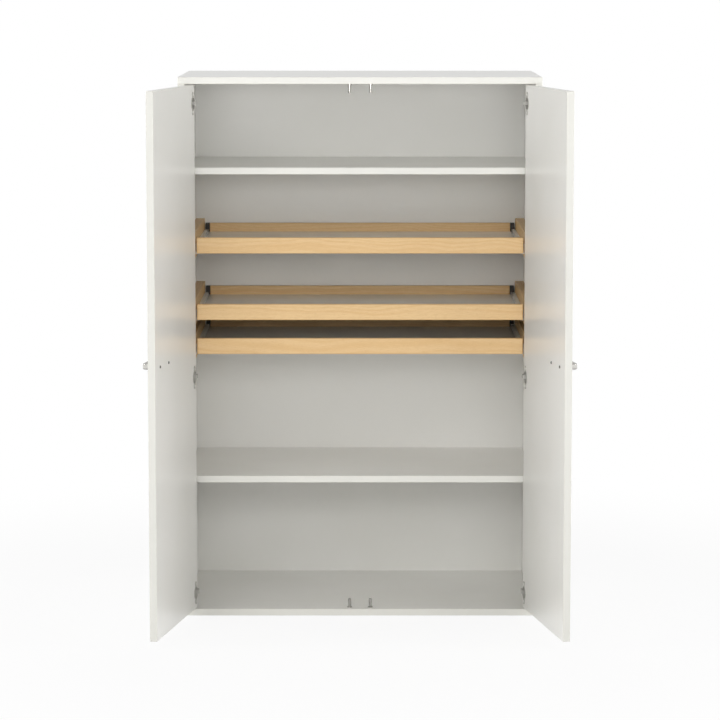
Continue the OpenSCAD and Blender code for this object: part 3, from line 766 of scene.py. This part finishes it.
# %% Hinge adjusters
ADJUSTER = {"head": 0.003, "rise": 0.0009, "shank": 0.0018, "length": 0.0015}
BESIDE_CLAMP = (-0.0125, 0.0165)  # metres in front of the clamping screw and behind it
CLAMP_HEAD = 0.004  # of the plates' screws, only the clamping ones have a head radius above this

for side in ("left", "right"):
    clamps = [s for s in measured[side + "_plate_screws"] if s["head"] > CLAMP_HEAD]
    sizes = [{"seat": s["seat"] + np.array([0, step, 0]), "axis": s["axis"], **ADJUSTER}
             for s in clamps for step in BESIDE_CLAMP]
    finish = zinc(side + "_hinge_adjusters", along=2)
    piece = set_screws(side + "_hinge_adjusters", sizes, "carcase", finish)
    print(piece.name, len(sizes))

# %% [markdown]
# ## Studio
#
# The floor and the room are white to the eye but do not light the cabinet more than a plain
# studio would: rays that go straight from the camera, or by way of a mirror-like surface, see
# full white, and all others see a quieter grey. The floor mixes its own shaded colour with that
# white, which leaves a soft shadow where the cabinet stands.


# %% Floor and room
def seen_white(tree):
    """1 for rays from the camera, and for those that glossy or clear surfaces send on."""
    rays = add(tree, "ShaderNodeLightPath", out="Is Camera Ray")
    return rays.most(add(tree, "ShaderNodeLightPath", out="Is Glossy Ray")).most(
        add(tree, "ShaderNodeLightPath", out="Is Transmission Ray"))


ROOM_LIGHT = 0.25  # what the room gives to all rays that don't see it white
PURE_WHITE = (1.0, 1.0, 1.0, 1.0)
FLOOR_HALF = 30  # metres from the middle of the floor to its sides
FLOOR_DROP = 0.0005  # metres below the cabinet, so that the two don't share a plane
SHADOW_MIDDLE = (0.0, -0.2, 0.0)
SHADOW_REACH = (0.9, 2.4)  # metres from there over which the floor's own shading fades out
SHADOW_SHARE = 0.1  # how much of that shading shows nearer by

world = bpy.data.worlds.new("white_room")
world.use_nodes = True
room = world.node_tree
room.nodes.clear()
grey = add(room, "ShaderNodeBackground", {}, {"Color": PURE_WHITE, "Strength": ROOM_LIGHT})
white = add(room, "ShaderNodeBackground", {}, {"Color": PURE_WHITE, "Strength": 1.0})
both = add(room, "ShaderNodeMixShader", {}, {0: seen_white(room), 1: grey, 2: white})
room.links.new(both.socket, room.nodes.new("ShaderNodeOutputWorld").inputs["Surface"])
bpy.context.scene.world = world

floor_mesh = bpy.data.meshes.new("studio_floor")
corners = [(x * FLOOR_HALF, y * FLOOR_HALF, -FLOOR_DROP) for x, y in ((-1, -1), (1, -1), (1, 1), (-1, 1))]
floor_mesh.from_pydata(corners, [], [(0, 1, 2, 3)])
floor = bpy.data.objects.new("studio_floor", floor_mesh)
bpy.context.scene.collection.objects.link(floor)
material, tree, shader = start("pale_floor")
spot = add(tree, "ShaderNodeTexCoord", out="Object")
colour = blend(tree, noise(tree, spot, 3.0), paint(238, 238, 238), paint(242, 242, 242))
feed(shader, Base_Color=colour, Roughness=0.9)
glow = add(tree, "ShaderNodeEmission", {}, {"Color": PURE_WHITE, "Strength": 1.0})
away = add(tree, "ShaderNodeVectorMath", {"operation": "DISTANCE"}, {0: spot, 1: SHADOW_MIDDLE}, out=1)
shade = SHADOW_SHARE * (1 - away.between(*SHADOW_REACH))
surface = add(tree, "ShaderNodeMixShader", {},
              {0: seen_white(tree) * (1 - shade), 1: Num(shader.outputs[0]), 2: glow})
target = next(n for n in tree.nodes if n.type == "OUTPUT_MATERIAL")
tree.links.new(surface.socket, target.inputs["Surface"])
floor.data.materials.append(material)

# %% [markdown]
# ## Lamps
#
# The light in the picture is broad and comes from all over the front: front edges are brightest, the
# inner faces of the doors a little less, and the back wall is shaded under each shelf. So the main
# boxes stand in front on the left and shine down by fourteen and twenty-two degrees, and one in the
# middle and one on the right fill in from nearer by. Two wings light the open doors, each from the
# far side, and a low box reaches in between the trays. Two boxes behind the cabinet and a weak one
# above it serve the views from there.


# %% Lamps
def soft_box(name, place, target, width, height, watts):
    light = bpy.data.lights.new(name, "AREA")
    light.shape, light.size, light.size_y, light.energy = "RECTANGLE", width, height, watts
    lamp = bpy.data.objects.new(name, light)
    lamp.location = place
    lamp.rotation_mode = "QUATERNION"
    lamp.rotation_quaternion = (Vector(target) - Vector(place)).to_track_quat("-Z", "Y")
    bpy.context.scene.collection.objects.link(lamp)
    return lamp


soft_box("left_box", (-3.2, -6.5, 2.6), (0, 0, 0.8), 3.0, 2.4, 28)
soft_box("left_high_box", (-2.6, -5.2, 3.2), (0, 0, 0.8), 2.0, 1.2, 38)
soft_box("right_near_box", (2.2, -3.0, 1.7), (-0.2, 0, 0.9), 1.0, 1.0, 12)
soft_box("left_wing", (-3.9, -1.35, 2.2), (0.4, -0.5, 1.0), 1.6, 1.6, 62)
soft_box("right_wing", (3.9, -1.35, 2.2), (-0.4, -0.5, 1.0), 1.6, 1.6, 58)
soft_box("front_box", (0, -4.2, 1.6), (0, 0, 0.9), 2.6, 0.6, 27)
soft_box("low_box", (0, -5.0, 1.0), (0, 0, 0.75), 3.0, 1.2, 10)
soft_box("top_box", (0, 1.2, 4.2), (0, 0.1, 1.5), 2.0, 1.2, 5)
soft_box("left_rear_box", (-4.2, 4.2, 0.9), (0, 0.3, 0.75), 2.0, 1.2, 60)
soft_box("right_rear_box", (4.2, 4.2, 0.9), (0, 0.3, 0.75), 2.0, 1.2, 60)

# %% [markdown]
# ## Camera
#
# The picture is taken from almost nine metres with a long lens, a little above the top of the
# cabinet, which is why its sides hardly converge and only a thin strip of the top shows. The
# camera stands in the middle and tips down by just under seven degrees.

# %% Camera
FOCAL_LENGTH, SENSOR = 157.37, 36.0  # mm
DISTANCE, EYE = 8.944, 1.773  # metres in front of the origin and above the floor
TIPPED = 6.944  # degrees down

lens = bpy.data.cameras.new("portrait_lens")
lens.lens, lens.sensor_width = FOCAL_LENGTH, SENSOR
lens.clip_start, lens.clip_end = 0.1, 100.0
camera = bpy.data.objects.new("camera", lens)
camera.location = (0.0, -DISTANCE, EYE)
camera.rotation_euler = (math.radians(90 - TIPPED), 0.0, 0.0)
bpy.context.scene.collection.objects.link(camera)
bpy.context.scene.camera = camera
bpy.context.scene.view_settings.view_transform = "Standard"

# %% [markdown]
# ## Last update
#
# Dressing must not change the size of the cabinet. The last step brings the scene up to date.

# %% Finish
bpy.context.view_layer.update()
